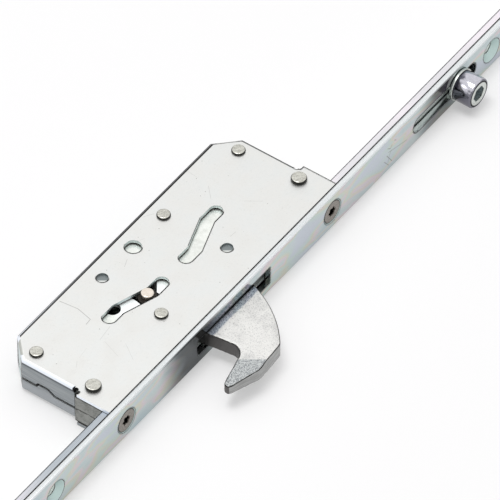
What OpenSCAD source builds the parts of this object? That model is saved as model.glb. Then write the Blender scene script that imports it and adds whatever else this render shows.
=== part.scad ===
// Swing-hook station of a multipoint door lock: one hook case and one roller on a shared faceplate.
// X runs up the door edge, Y into the door from the faceplate's front, Z is square to the case cover.
// The origin is midway between the two case screws, on the faceplate's front face and its mid width.
// The hook and the rail stand as in use with the hook thrown almost all the way.

/* [Faceplate] */
// Reach of the faceplate below the case centre
plate_below = 125; // [108:1:220]
// Reach of the faceplate above the case centre
plate_above = 190; // [180:1:300]
// Width of the faceplate
plate_w = 16; // [15:0.5:24]
// Thickness of the faceplate
plate_t = 2.5; // [2:0.1:3]
// Rounding of the faceplate's two front edges
plate_edge_r = 0.9; // [0.3:0.1:1.5]
// Lower end of the hook opening, from the case centre
opening_below = 18.6; // [18.5:0.1:24]
// Upper end of the hook opening, from the case centre
opening_above = 22.8; // [20.6:0.1:28]
// Lower fixing hole, from the case centre
fixing_below = 99.1; // [90:0.1:102]
// Upper fixing hole, from the case centre
fixing_above = 154.4; // [150:0.1:160]
// Bore of the fixing holes
fixing_d = 5.2; // [4.2:0.1:5.6]
// Countersink of the fixing holes at the front face
fixing_sink_d = 9.4; // [8:0.1:10.6]

/* [Drive rail] */
// Thickness of the sliding rail
rail_t = 3.2; // [2.5:0.1:3.4]
// Bare rail beyond the faceplate's lower end
rail_tail = 15; // [12:0.5:40]
// Rail travel from the photographed place until the hook is drawn in
travel_in = 15.1; // [14:0.1:15.5]
// Rail travel from the photographed place until the hook is fully thrown
travel_out = 2.9; // [1:0.1:3]
// Coupling hole at the rail's lower end
coupling_d = 4.2; // [3:0.1:5]

/* [Case] */
// Thickness of the case over both shells
case_t = 15; // [14.6:0.1:16]
// Depth of the case from the faceplate's front face
case_depth = 49; // [48.8:0.1:54]
// Length of the walled case body
case_l = 126.6; // [126:0.2:129]
// Sheet thickness of the shells
sheet_t = 1.2; // [0.9:0.1:1.4]
// Chamfer of the two rear corners
corner_c = 8; // [4:0.5:8.5]
// Length over the two front tabs
tab_l = 130.4; // [129.6:0.2:134]
// Depth of the tabs from the faceplate's front face
tab_depth = 16.5; // [14:0.1:16.6]
// Width of the two cam slots
cam_slot_w = 5.1; // [5:0.05:5.6]

/* [Hook] */
// Thickness of the hook
hook_t = 6; // [5:0.1:6.4]
// Reach of the hook in front of the faceplate
hook_reach = 24.15; // [23.8:0.05:25]
// Distance of the beak's tip from the case centre
beak_reach = 28.9; // [27:0.1:29.4]
// Radius of the throat behind the beak
throat_r = 4.9; // [4:0.1:5.2]
// Hub radius
hub_r = 8; // [6.5:0.1:8.4]
// Swing of the hook while the rail makes its travel in, in degrees
hook_turn = 84; // [82:0.5:85]
// How much lower the beak's upper face is at its tip
beak_taper = 0.9; // [0.2:0.1:1.4]
// How much higher the beak's lower face is at its tip
beak_taper_low = 2.1; // [0.2:0.1:2.4]

/* [Drive pin] */
// Diameter of the drive pin
pin_d = 3.9; // [3:0.1:4]
// Outer diameter of the pin's two collars
collar_d = 7; // [5.5:0.1:7.4]
// Diameter of the pin's riveted head
pin_head_d = 4.5; // [4:0.1:4.8]
// How far the pin's head stands above the cover
pin_proud = 0.6; // [0.4:0.1:1]

/* [Roller] */
// Distance of the roller's axis from the case centre
roller_x = 134.7; // [128:0.1:136]
// Outer diameter of the roller sleeve
roller_d = 11.6; // [10:0.1:14]
// Reach of the roller in front of the faceplate
roller_reach = 8.5; // [7:0.1:12]
// Eccentric offset between the stud's axis and the roller's axis
roller_offset = 1; // [0.5:0.1:1.3]
// Width of the faceplate slot that the stud slides in
roller_slot_w = 6.2; // [5.8:0.1:7]
// Size of the stud's hexagon socket across its flats
socket_af = 5.5; // [4:0.1:6]

/* [Screws and rivets] */
// Distance of each case screw from the end of its tab
screw_x = 5.9; // [5.2:0.1:6.6]
// Thread diameter of the case screws
screw_d = 5; // [4:0.1:5.4]
// Head diameter of the case screws
screw_head_d = 9.3; // [8:0.1:10.4]
// Length of the case screws
screw_l = 10.8; // [9:0.1:11.1]
// Head diameter of the corner rivets and of the guide and pivot rivets
rivet_head_d = 5; // [4.4:0.1:6]
// Head height of those rivets
rivet_head_h = 0.95; // [0.5:0.05:1.5]
// Head diameter of the two end block rivets
block_rivet_d = 5.7; // [5.2:0.1:7]
// Head height of the two end block rivets
block_rivet_h = 1.45; // [0.8:0.05:2]
// Height of every rivet's closed end under the case
rivet_tail_h = 0.5; // [0.3:0.05:1]

/* [Hidden] */

// Clearances
slide_gap = 0.2;    // between sliding faces
fit_gap = 0.05;     // radial, between a shank and its hole
sink_gap = 0.15;    // radial, between a screw head and its countersink
hook_gap = 0.7;     // between the hook's faces and the slider plates
shell_gap = 0.6;    // between the slider plates and the shells
slot_side_gap = 0.6;   // between a screw and the sides of its rail slot
opening_gap = 0.8;  // between the hook's faces and the faceplate's opening
rail_hook_gap = 0.5;   // between the hook's faces and the rail's opening
swing_gap = 0.55;   // around the drive pin in the hook's slot
window_gap = 0.15;  // around the pin's collars in the slider plates
collar_gap = 0.3;   // between the collars and the hook
seam_gap = 0.3;     // between the shells' front edges and the faceplate
cut = 1;            // overrun of every cutting shape

// Round shapes
$fn = 48;

// Heights from the case's mid plane
outer_z = case_t / 2;
inner_z = outer_z - sheet_t;
rail_z = inner_z - slide_gap;
slider_top = inner_z - shell_gap;
slider_low = hook_t / 2 + hook_gap;

// Depths from the faceplate's front face
shell_front = plate_t + seam_gap;
rail_front = plate_t + slide_gap;
rail_back = rail_front + rail_t;
block_front = rail_back + slide_gap;
wall_setback = 2.4;
wall_start = tab_depth + wall_setback;
block_setback = 1.1;
block_step = tab_depth + block_setback;
block_lap = 0.6;
block_back = wall_start + block_lap;

// Rail ends
rail_end_gap = 6;
rail_low_x = -plate_below - rail_tail;
rail_high_x = plate_above - travel_out - rail_end_gap;

// The faceplate's opening is bowed at its lower end
opening_bow = 0.7;
opening_r = hook_t / 2 + opening_gap;
opening_bow_r = (opening_r ^ 2 + opening_bow ^ 2) / (2 * opening_bow);
opening_bow_turn = asin(opening_r / opening_bow_r);

// Rear corners and the joint line of the two shells, as depth and height
half_l = case_l / 2;
joint_rear = -1.6;
joint_ridge = -0.35;
joint_front = -2.15;
joint_gap = 0.35;
ridge_from = 27.4;
ridge_flat_from = 30;
ridge_flat_to = 34.2;
ridge_to = 35;

// Small arcs that relieve the ends of the case's end walls
relief_r = 0.9;
relief_shift = [0.1, -0.8];
relief_at = [half_l, wall_start] + relief_shift;

// Rivet and screw places as seen from above; the insets are from the case's and the tabs' corners
screw_at = tab_l / 2 - screw_x;
corner_inset = [5.4, 10.15];
corner_rivet = [half_l, case_depth] - corner_inset;
block_rivet_inset = [6.1, 2.45];
block_rivet = [tab_l / 2, tab_depth] - block_rivet_inset;
guide_inset = 7.3;
guide_at = [18.35, case_depth - guide_inset];
pivot = [-19, 15.2];
rivet_shank_d = 3.6;
block_shank_d = 4.2;
rivet_chamfer = 0.35;
pivot_r = 3.2;
tail_flare = 0.5;
spacer_r = 3.2;
washer_w = 1.3;

// Places that this hand of the case doesn't use: two are only coined, to a depth, and the middle one is a hole
front_spare = [19, 15.3];
rear_inset = 7.6;
rear_spare = [-17.2, case_depth - rear_inset];
spare_d = 4.25;
spare_deep = 0.85;
centre_hole = [0.5, case_depth - rear_inset];
centre_hole_d = 6;

// Cam slots: each runs level, dips and runs level again
cam_far_x = 30.5;
cam_far_bend_x = 25.7;
cam_near_bend_x = 12.2;
cam_near_x = 7;
cam_far_y = 28.45;
cam_near_y = 23.85;
cam_line = [
    [-cam_far_x, cam_far_y], [-cam_far_bend_x, cam_far_y],
    [-cam_near_bend_x, cam_near_y], [-cam_near_x, cam_near_y]
];

// The drive pin keeps to a straight line that leans a little past the cam slot's two level ends
pin_lean_far = 0.5;
pin_lean_near = 0.05;
pin_rest_x = -14.1;
pin_rise = (cam_far_y + pin_lean_far - cam_near_y + pin_lean_near) / (travel_in + travel_out);
pin_rest_y = cam_near_y - pin_lean_near + travel_out * pin_rise;
pin_chamfer = 0.2;
pin_head_gap = 0.1;
hook_rate = hook_turn / travel_in;

function turned(p, a) = [p.x * cos(a) - p.y * sin(a), p.x * sin(a) + p.y * cos(a)];
function pin_at(s) = [pin_rest_x + s, pin_rest_y - pin_rise * s];
function pin_in_hook(s) = pivot + turned(pin_at(s) - pivot, hook_rate * s);
function arc(c, r, a0, a1, n) =
    [for (i = [0 : n]) let (a = a0 + (a1 - a0) * i / n) c + r * [cos(a), sin(a)]];

// Outline of a lane of half width r along a list of points, with round ends and mitred bends
function heading(p, i) = atan2(p[i + 1].y - p[i].y, p[i + 1].x - p[i].x);
function mitre(p, i, r) =
    let (turn = heading(p, i) - heading(p, i - 1), a = heading(p, i - 1) + turn / 2 + 90)
        p[i] + r / cos(turn / 2) * [cos(a), sin(a)];
function lane(p, r) = let (last = len(p) - 1) concat(
    arc(p[0], r, heading(p, 0) + 90, heading(p, 0) + 270, 10),
    [for (i = [1 : last - 1]) mitre(p, i, -r)],
    arc(p[last], r, heading(p, last - 1) - 90, heading(p, last - 1) + 90, 10),
    [for (i = [last - 1 : -1 : 1]) mitre(p, i, r)]
);

// Path of the drive pin as the hook sees it, at these shares of the travel in
pin_path = [for (share = [0.15, 0.45, 0.75, 1]) pin_in_hook(-share * travel_in)];

// Hook outline: back arc, blunt lower end, beak and throat
back_c = [-31.7, 15.3];
back_r = 47.9;
back_from = -14;
back_to = -51.3;
throat_c = [-17.3, -10.4];
throat_from = -91;
throat_to = 8;
hub_from = -60;
tail_to = -20;
tail_wall = 2.6;

// Points of the hook's outline: the blunt end as x and height over the hook's reach, the beak's tip
// as offsets from both reaches, then the throat's lip, the side of the throat and the neck's back
blunt_end = [[-3.1, 1.1], [-6.9, 0.75], [-11.7, 0.45], [-15.2, 0.05], [-16.8, 0.1], [-21.7, 1.65]];
beak_tip = [[1.4, 3.35], [0.35, 3.9], [0, 4.6], [0.15, 5.6], [0.7, 6.3], [2.8, 6.95]];
throat_lip = [-21.2, 7.95];
throat_side = [[-13.1, -4.4], [-13.7, -0.7], [-14.6, 5.7]];
neck_back = [[6, 14], [12, 7]];

// The beak's tapered faces start along this line and reach their full taper over this length
beak_root = [[-16.1, -16.6], [-10.8, -23.6]];
beak_len = 15;
beak_tool = [40, 40, 10];

// End blocks
block_len = 13.5;
block_tab_lip = 0.2;
block_outer_x = tab_l / 2 - block_tab_lip;
block_inner_x = block_outer_x - block_len;
parting_w = 0.3;
parting_deep = 0.15;
screw_hole_spare = 0.3;
screw_hole_end = screw_l + screw_hole_spare;

// Slider plates: the arm stays clear of the end block when the hook is fully thrown
arm_block_gap = 1.1;
arm_w = 9.5;
arm_right_x = block_inner_x - travel_out - arm_block_gap;
arm_left_x = arm_right_x - arm_w;
arm_rail_gap = 0.8;
arm_low_y = rail_back + arm_rail_gap;
arm_high_y = 30;
bar_low_y = 20.4;
bar_high_y = 36;
bar_left_x = -37;
bar_lap = 2.7;
bar_right_x = arm_left_x + bar_lap;
guide_r = 3;
guide_wall = 3.5;
lug_wall = 1.8;
lug_left_x = -6;
lug_right_x = guide_at.x + travel_in + guide_r + slide_gap + guide_wall;
lug_high_y = guide_at.y + guide_r + lug_wall;
window_ear = [[-10.2, 23.6], [-4.5, 27.75], [-4.5, 30.5], [-10.2, 32.5]];
window_lean = 1.45;
window_lean_top = 26.5;
look_hole = [-25.4, 31];
look_hole_d = 5.6;

// Driver block and its rivets
driver_shoulder = 1.5;
driver_w = 6.5;
driver_right_x = arm_right_x - driver_shoulder;
driver_left_x = driver_right_x - driver_w;
driver_back_y = 15;
tenon_x = [driver_left_x + driver_shoulder, driver_right_x - driver_shoulder];
tenon_z = 2.4;
driver_rivet_x = (tenon_x[0] + tenon_x[1]) / 2;
driver_rivet_y = [8.6, 12.4];
driver_rivet_d = 2.6;
driver_head_d = 3.8;
driver_head_h = 0.25;

// Rail slots
rail_hook_low_x = -24;
rail_web = 2.5;
rail_hook_high_x = tenon_x[0] - rail_web;
rail_hook_w = hook_t + 2 * rail_hook_gap;
coupling_inset = 6;
coupling_x = rail_low_x + coupling_inset;

// Roller and its stud
stud_x = roller_x - roller_offset;
neck_gap = 0.15;
neck_r = roller_slot_w / 2 - neck_gap;
flange_lip = 0.4;
flange_r = roller_d / 2 + flange_lip;
flange_back = -0.2;
flange_front = -1.2;
journal_r = 4;
cap_r = 4.8;
cap_t = 1;
sleeve_gap = 0.1;
sleeve_recess_gap = 0.2;
socket_deep = 4;
stud_sink_r = 0.9;
roller_slot_below = 27.3;
roller_slot_above = 10.2;
roller_slot = [roller_x - roller_slot_below, roller_x + roller_slot_above];
roller_chamfer = 0.45;

// Screw heads
head_sunk = 0.1;
star_r = 2.2;
star_core_r = 1.6;
star_lobe_r = 0.6;
star_deep = 1.7;

// A round-ended bar between two points
module bar(p, q, r) {
    d = q - p;
    translate(p) circle(r);
    translate(q) circle(r);
    translate(p) rotate(atan2(d.y, d.x)) translate([0, -r]) square([norm(d), 2 * r]);
}

// Bars joined end to end along a list of points
module chain(points, r) {
    for (i = [0 : len(points) - 2]) bar(points[i], points[i + 1], r);
}

// A round shape about an axis along Y, between two depths
module round_y(x, y0, y1, r0, r1) {
    translate([x, y0, 0]) rotate([-90, 0, 0]) cylinder(h = y1 - y0, r1 = r0, r2 = r1);
}

// A slot along X cut right through depths y0 to y1, with round ends of its own width
module long_slot(x0, x1, w, y0, y1) {
    translate([0, y0, 0]) rotate([-90, 0, 0]) linear_extrude(y1 - y0)
        bar([x0 + w / 2, 0], [x1 - w / 2, 0], w / 2);
}

// A profile drawn as depth and height, run along X between two places
module along_x(x0, x1) {
    translate([x0, 0, 0]) rotate([90, 0, 90]) linear_extrude(x1 - x0) children();
}

// Section of the faceplate with its two rounded front edges
module plate_section() {
    translate([plate_edge_r, -plate_w / 2]) square([plate_t - plate_edge_r, plate_w]);
    translate([0, -plate_w / 2 + plate_edge_r]) square([plate_t, plate_w - 2 * plate_edge_r]);
    for (side = [-1, 1])
        translate([plate_edge_r, side * (plate_w / 2 - plate_edge_r)]) circle(plate_edge_r);
}

// A countersunk hole through the faceplate, opening at the front at 90 degrees
module sunk_hole(x, d, sink_d) {
    round_y(x, -cut, plate_t + cut, d / 2, d / 2);
    round_y(x, -cut, (sink_d - d) / 2, sink_d / 2 + cut, d / 2);
}

// The opening that the hook swings through
module hook_opening() {
    bow_c = [opening_bow_r - opening_bow - opening_below, 0];
    translate([0, -cut, 0]) rotate([-90, 0, 0]) linear_extrude(plate_t + 2 * cut) polygon(concat(
        arc(bow_c, opening_bow_r, 180 - opening_bow_turn, 180 + opening_bow_turn, 10),
        [[opening_above, -opening_r], [opening_above, opening_r]]
    ));
}

module faceplate() {
    color([0.78, 0.81, 0.83]) difference() {
        along_x(-plate_below, plate_above) plate_section();
        hook_opening();
        long_slot(roller_slot.x, roller_slot.y, roller_slot_w, -cut, plate_t + cut);
        sunk_hole(-fixing_below, fixing_d, fixing_sink_d);
        sunk_hole(fixing_above, fixing_d, fixing_sink_d);
        for (side = [-1, 1])
            sunk_hole(side * screw_at, screw_d + 2 * sink_gap, screw_head_d + 2 * sink_gap);
    }
}

// Slot that lets the rail slide past a fixed screw of diameter d
module rail_screw_slot(x, d) {
    r = d / 2 + slot_side_gap;
    long_slot(x - travel_out - r, x + travel_in + r, 2 * r, rail_front - cut, rail_back + cut);
}

module drive_rail() {
    color([0.74, 0.76, 0.8]) difference() {
        union() {
            translate([rail_low_x + rail_z, rail_front, -rail_z])
                cube([rail_high_x - rail_low_x - rail_z, rail_t, 2 * rail_z]);
            round_y(rail_low_x + rail_z, rail_front, rail_back, rail_z, rail_z);
        }
        round_y(coupling_x, rail_front - cut, rail_back + cut, coupling_d / 2, coupling_d / 2);
        for (x = [-screw_at, screw_at]) rail_screw_slot(x, screw_d);
        for (x = [-fixing_below, fixing_above]) rail_screw_slot(x, fixing_d);
        translate([rail_hook_low_x, rail_front - cut, -rail_hook_w / 2])
            cube([rail_hook_high_x - rail_hook_low_x, rail_t + 2 * cut, rail_hook_w]);
        translate([tenon_x[0] - fit_gap, rail_front - cut, -tenon_z - fit_gap])
            cube([tenon_x[1] - tenon_x[0] + 2 * fit_gap, rail_t + 2 * cut, 2 * (tenon_z + fit_gap)]);
        round_y(stud_x, rail_front - cut, rail_back + cut, neck_r + fit_gap, neck_r + fit_gap);
        round_y(stud_x, rail_back - stud_sink_r, rail_back + cut,
            neck_r + fit_gap, neck_r + fit_gap + stud_sink_r + cut);
    }
}

// Walled outline of the case seen from above, drawn in by an inset, from a depth to the rear
module case_outline(inset, from_y) {
    bend = inset * (sqrt(2) - 1);
    x = half_l - inset;
    y = case_depth - inset;
    polygon([
        [-x, from_y], [-x, case_depth - corner_c - bend], [-half_l + corner_c + bend, y],
        [half_l - corner_c - bend, y], [x, case_depth - corner_c - bend], [x, from_y]
    ]);
}

// Holes and slots of each shell, seen from above
module shell_holes() {
    for (side = [0, 1]) mirror([side, 0]) {
        chain(cam_line, cam_slot_w / 2);
        translate(corner_rivet) circle(rivet_shank_d / 2 + fit_gap);
        translate(block_rivet) circle(block_shank_d / 2 + fit_gap);
        translate(relief_at) circle(relief_r);
    }
    translate(guide_at) circle(rivet_shank_d / 2 + fit_gap);
    translate(pivot) circle(rivet_shank_d / 2 + fit_gap);
    translate(centre_hole) circle(centre_hole_d / 2);
}

// Removes the sharp outer corner of a bend, along an edge of the given length centred on p
module bend_round(p, turn, length) {
    r = sheet_t;
    translate([p.x, p.y, outer_z]) rotate(turn) difference() {
        translate([-length / 2, -r, -r]) cube([length, r + cut, r + cut]);
        translate([-length / 2 - cut, -r, -r]) rotate([0, 90, 0]) cylinder(h = length + 2 * cut, r = r);
    }
}

// One pressed tray: cover, walls down past the joint line, rounded bends, all holes
module tray() {
    corner_y = case_depth - corner_c;
    side_l = corner_y - wall_start;
    difference() {
        union() {
            translate([0, 0, inner_z]) linear_extrude(sheet_t) {
                translate([-tab_l / 2, shell_front]) square([tab_l, tab_depth - shell_front]);
                case_outline(0, tab_depth - cut);
            }
            translate([0, 0, -inner_z / 2]) linear_extrude(1.5 * inner_z + sheet_t / 2) difference() {
                case_outline(0, wall_start);
                case_outline(sheet_t, wall_start - cut);
            }
        }
        translate([0, 0, inner_z - cut]) linear_extrude(sheet_t + 2 * cut) shell_holes();
        for (place = [front_spare, rear_spare])
            translate([place.x, place.y, outer_z - spare_deep]) cylinder(h = spare_deep + cut, d = spare_d);
        bend_round([0, case_depth], 0, case_l);
        for (side = [0, 1]) mirror([side, 0, 0]) {
            bend_round([half_l - corner_c / 2, case_depth - corner_c / 2], -45, 3 * corner_c);
            bend_round([half_l, wall_start + side_l / 2 + cut / 2], -90, side_l + cut);
        }
    }
}

// Everything below the joint line of the shells, lowered by a gap
module below_joint(gap) {
    along_x(-half_l - cut, half_l + cut) translate([0, -gap]) polygon([
        [wall_start - cut, joint_front], [ridge_from, joint_front], [ridge_flat_from, joint_ridge],
        [ridge_flat_to, joint_ridge], [ridge_to, joint_rear], [case_depth + cut, joint_rear],
        [case_depth + cut, -outer_z - cut], [wall_start - cut, -outer_z - cut]
    ]);
}

module upper_case_shell() {
    color([0.86, 0.86, 0.85]) difference() {
        tray();
        below_joint(0);
    }
}

module lower_case_shell() {
    color([0.83, 0.83, 0.82]) intersection() {
        mirror([0, 0, 1]) tray();
        union() {
            below_joint(joint_gap);
            translate([-tab_l / 2 - cut, shell_front, -outer_z - cut])
                cube([tab_l + 2 * cut, case_depth, sheet_t + cut]);
        }
    }
}

// Die-cast block that closes one end of the case and takes the case screw
module end_block() {
    difference() {
        translate([0, 0, -inner_z + fit_gap]) linear_extrude(2 * (inner_z - fit_gap)) polygon([
            [block_inner_x, block_front], [block_outer_x, block_front], [block_outer_x, block_step],
            [half_l - sheet_t - fit_gap, block_step], [half_l - sheet_t - fit_gap, block_back],
            [block_inner_x, block_back]
        ]);
        round_y(screw_at, block_front - cut, screw_hole_end, screw_d / 2 + fit_gap, screw_d / 2 + fit_gap);
        translate([block_rivet.x, block_rivet.y, -outer_z])
            cylinder(h = 2 * outer_z, d = block_shank_d + 2 * fit_gap);
        translate([block_outer_x - parting_deep, block_front - cut, -parting_w / 2])
            cube([parting_deep + cut, block_step - block_front + 2 * cut, parting_w]);
    }
}

module upper_end_block() {
    color([0.5, 0.49, 0.46]) end_block();
}

module lower_end_block() {
    color([0.5, 0.49, 0.46]) mirror([1, 0, 0]) end_block();
}

// Six-lobed recess of a screw head
module star() {
    circle(star_core_r);
    for (i = [0 : 5]) rotate(60 * i) translate([star_r - star_lobe_r, 0]) circle(star_lobe_r);
}

module case_screws() {
    head_r = screw_head_d / 2;
    cone_end = head_sunk + head_r - screw_d / 2;
    color([0.62, 0.59, 0.55]) for (side = [-1, 1]) difference() {
        union() {
            round_y(side * screw_at, head_sunk, cone_end, head_r, screw_d / 2);
            round_y(side * screw_at, cone_end, screw_l, screw_d / 2, screw_d / 2);
        }
        translate([side * screw_at, head_sunk - cut, 0]) rotate([-90, 0, 0])
            linear_extrude(star_deep + cut) star();
    }
}

// A rivet through both shells, with a chamfered head above and a low closed end below
module rivet(p, head_d, head_h, shank_d) {
    tail_r = shank_d / 2 + tail_flare;
    translate([p.x, p.y, 0]) rotate_extrude() polygon([
        [0, -outer_z - rivet_tail_h], [tail_r, -outer_z - rivet_tail_h], [tail_r, -outer_z],
        [shank_d / 2, -outer_z], [shank_d / 2, outer_z], [head_d / 2, outer_z],
        [head_d / 2, outer_z + head_h - rivet_chamfer], [head_d / 2 - rivet_chamfer, outer_z + head_h],
        [0, outer_z + head_h]
    ]);
}

// A tube about Z at p, from z0 to z1
module tube(p, z0, z1, inner_r, outer_r) {
    translate([p.x, p.y, z0]) difference() {
        cylinder(h = z1 - z0, r = outer_r);
        translate([0, 0, -cut]) cylinder(h = z1 - z0 + 2 * cut, r = inner_r);
    }
}

module end_block_rivets() {
    color([0.66, 0.65, 0.62]) for (side = [-1, 1])
        rivet([side * block_rivet.x, block_rivet.y], block_rivet_d, block_rivet_h, block_shank_d);
}

module corner_rivets() {
    color([0.74, 0.73, 0.7]) for (side = [-1, 1])
        rivet([side * corner_rivet.x, corner_rivet.y], rivet_head_d, rivet_head_h, rivet_shank_d);
}

module corner_spacers() {
    color([0.6, 0.6, 0.6]) for (side = [-1, 1])
        tube([side * corner_rivet.x, corner_rivet.y], -inner_z, inner_z,
            rivet_shank_d / 2 + fit_gap, spacer_r);
}

module guide_rivet() {
    color([0.74, 0.73, 0.7]) rivet(guide_at, rivet_head_d, rivet_head_h, rivet_shank_d);
}

module guide_spacer() {
    color([0.6, 0.6, 0.6]) tube(guide_at, -inner_z, inner_z, rivet_shank_d / 2 + fit_gap, guide_r);
}

module hook_pivot_rivet() {
    color([0.74, 0.73, 0.7]) rivet(pivot, rivet_head_d, rivet_head_h, rivet_shank_d);
}

module hook_pivot_sleeve() {
    color([0.6, 0.6, 0.6]) tube(pivot, -inner_z, inner_z, rivet_shank_d / 2 + fit_gap, pivot_r);
}

module hook_washers() {
    color([0.55, 0.55, 0.53]) for (side = [0, 1]) mirror([0, 0, side])
        tube(pivot, hook_t / 2 + slide_gap, inner_z, pivot_r + fit_gap, pivot_r + washer_w);
}

// Outline of the hook seen from above: back arc, blunt lower end, beak, throat, hub and tail
module hook_outline() {
    bend = pin_path[1];
    end = pin_path[3];
    tail_r = pin_d / 2 + swing_gap + tail_wall;
    side = atan2(bend.y - pivot.y, bend.x - pivot.x) + acos((hub_r - tail_r) / norm(bend - pivot));
    top = atan2(end.y - bend.y, end.x - bend.x) + 90;
    polygon(concat(
        arc(back_c, back_r, back_from, back_to, 16),
        [for (p = blunt_end) p - [0, hook_reach]],
        [for (p = beak_tip) p - [beak_reach, hook_reach]],
        [throat_lip - [0, hook_reach]],
        arc(throat_c, throat_r, throat_from, throat_to, 10),
        throat_side,
        arc(pivot, hub_r, hub_from, side - 360, 24),
        arc(bend, tail_r, side, top, 6),
        arc(end, tail_r, top, tail_to, 12),
        neck_back
    ));
}

// A slanting cut that thins the beak's upper face towards its tip
module beak_cut(taper) {
    d = beak_root[1] - beak_root[0];
    slope = atan(taper / beak_len);
    translate([beak_root[0].x, beak_root[0].y, hook_t / 2]) rotate(atan2(d.y, d.x))
        rotate([slope, 0, 0]) translate([-beak_tool.x / 4, -beak_tool.y, 0]) cube(beak_tool);
}

module hook_bolt() {
    color([0.72, 0.72, 0.71]) difference() {
        translate([0, 0, -hook_t / 2]) linear_extrude(hook_t) hook_outline();
        beak_cut(beak_taper);
        mirror([0, 0, 1]) beak_cut(beak_taper_low);
        translate([pivot.x, pivot.y, -hook_t]) cylinder(h = 2 * hook_t, r = pivot_r + fit_gap);
        translate([0, 0, -hook_t]) linear_extrude(2 * hook_t)
            polygon(lane(pin_path, pin_d / 2 + swing_gap));
    }
}

// Slider plate seen from above: long bar, lug with the guide slot, and the arm to the driver
module slider_outline() {
    collar_r = collar_d / 2 + window_gap;
    far_y = pin_at(-travel_in).y;
    left_x = pin_rest_x - collar_r;
    difference() {
        union() {
            translate([bar_left_x, bar_low_y]) square([bar_right_x - bar_left_x, bar_high_y - bar_low_y]);
            translate([lug_left_x, bar_high_y - cut])
                square([lug_right_x - lug_left_x, lug_high_y - bar_high_y + cut]);
            translate([arm_left_x, arm_low_y])
                square([arm_right_x - arm_left_x, arm_high_y - arm_low_y]);
        }
        bar([pin_rest_x, bar_low_y - collar_r - cut], [pin_rest_x, far_y], collar_r);
        polygon(concat(window_ear, [[pin_rest_x, far_y], [pin_rest_x, window_ear[0].y]]));
        polygon([
            [left_x, window_lean_top], [left_x - window_lean, bar_low_y - cut],
            [pin_rest_x, bar_low_y - cut], [pin_rest_x, window_lean_top]
        ]);
        translate(look_hole) circle(look_hole_d / 2);
        bar([guide_at.x - travel_out, guide_at.y], [guide_at.x + travel_in, guide_at.y],
            guide_r + slide_gap);
        for (y = driver_rivet_y) translate([driver_rivet_x, y]) circle(driver_rivet_d / 2 + fit_gap);
    }
}

module slider_plate() {
    translate([0, 0, slider_low]) linear_extrude(slider_top - slider_low) slider_outline();
}

module upper_slider_plate() {
    color([0.8, 0.8, 0.78]) slider_plate();
}

module lower_slider_plate() {
    color([0.8, 0.8, 0.78]) mirror([0, 0, 1]) slider_plate();
}

module driver_block() {
    color([0.58, 0.58, 0.58]) difference() {
        union() {
            translate([driver_left_x, rail_back, -slider_low])
                cube([driver_right_x - driver_left_x, driver_back_y - rail_back, 2 * slider_low]);
            translate([tenon_x[0], rail_front, -tenon_z])
                cube([tenon_x[1] - tenon_x[0], rail_t + cut, 2 * tenon_z]);
        }
        for (y = driver_rivet_y) translate([driver_rivet_x, y, -outer_z])
            cylinder(h = 2 * outer_z, d = driver_rivet_d + 2 * fit_gap);
    }
}

module driver_rivets() {
    color([0.66, 0.65, 0.62]) for (y = driver_rivet_y) translate([driver_rivet_x, y, 0]) {
        translate([0, 0, -slider_top]) cylinder(h = 2 * slider_top, d = driver_rivet_d);
        for (z = [-slider_top - driver_head_h, slider_top])
            translate([0, 0, z]) cylinder(h = driver_head_h, d = driver_head_d);
    }
}

module drive_pin() {
    high = outer_z + pin_proud;
    neck = outer_z + pin_head_gap;
    color([0.85, 0.78, 0.7]) translate([pin_rest_x, pin_rest_y, 0]) rotate_extrude() polygon([
        [0, -neck], [pin_d / 2, -neck], [pin_d / 2, neck], [pin_head_d / 2, neck],
        [pin_head_d / 2, high - pin_chamfer], [pin_head_d / 2 - pin_chamfer, high], [0, high]
    ]);
}

module pin_collars() {
    color([0.3, 0.28, 0.26]) for (side = [0, 1]) mirror([0, 0, side])
        tube([pin_rest_x, pin_rest_y], hook_t / 2 + collar_gap, inner_z - slide_gap,
            pin_d / 2, collar_d / 2);
}

module roller_stud() {
    front = -roller_reach;
    color([0.72, 0.73, 0.72]) difference() {
        union() {
            round_y(stud_x, flange_back, rail_back - stud_sink_r, neck_r, neck_r);
            round_y(stud_x, rail_back - stud_sink_r, rail_back, neck_r, neck_r + stud_sink_r);
            round_y(roller_x, flange_front, flange_back, flange_r, flange_r);
            round_y(roller_x, front, flange_front, journal_r, journal_r);
            round_y(roller_x, front, front + cap_t, cap_r, cap_r);
        }
        translate([roller_x, front - cut, 0]) rotate([-90, 0, 0])
            cylinder(h = socket_deep + cut, d = socket_af / cos(30), $fn = 6);
    }
}

module roller_sleeve() {
    back = flange_front - sleeve_gap;
    front = -roller_reach + fit_gap;
    r = roller_d / 2;
    color([0.8, 0.8, 0.84]) difference() {
        union() {
            round_y(roller_x, front + roller_chamfer, back, r, r);
            round_y(roller_x, front, front + roller_chamfer, r - roller_chamfer, r);
        }
        round_y(roller_x, front - cut, back + cut, journal_r + fit_gap, journal_r + fit_gap);
        round_y(roller_x, front - cut, -roller_reach + cap_t + sleeve_gap,
            cap_r + sleeve_recess_gap, cap_r + sleeve_recess_gap);
    }
}

faceplate();
drive_rail();
upper_case_shell();
lower_case_shell();
lower_end_block();
upper_end_block();
case_screws();
end_block_rivets();
corner_rivets();
corner_spacers();
guide_rivet();
guide_spacer();
hook_pivot_rivet();
hook_pivot_sleeve();
hook_washers();
hook_bolt();
upper_slider_plate();
lower_slider_plate();
driver_block();
driver_rivets();
drive_pin();
pin_collars();
roller_stud();
roller_sleeve();
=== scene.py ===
import math
import random

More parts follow.
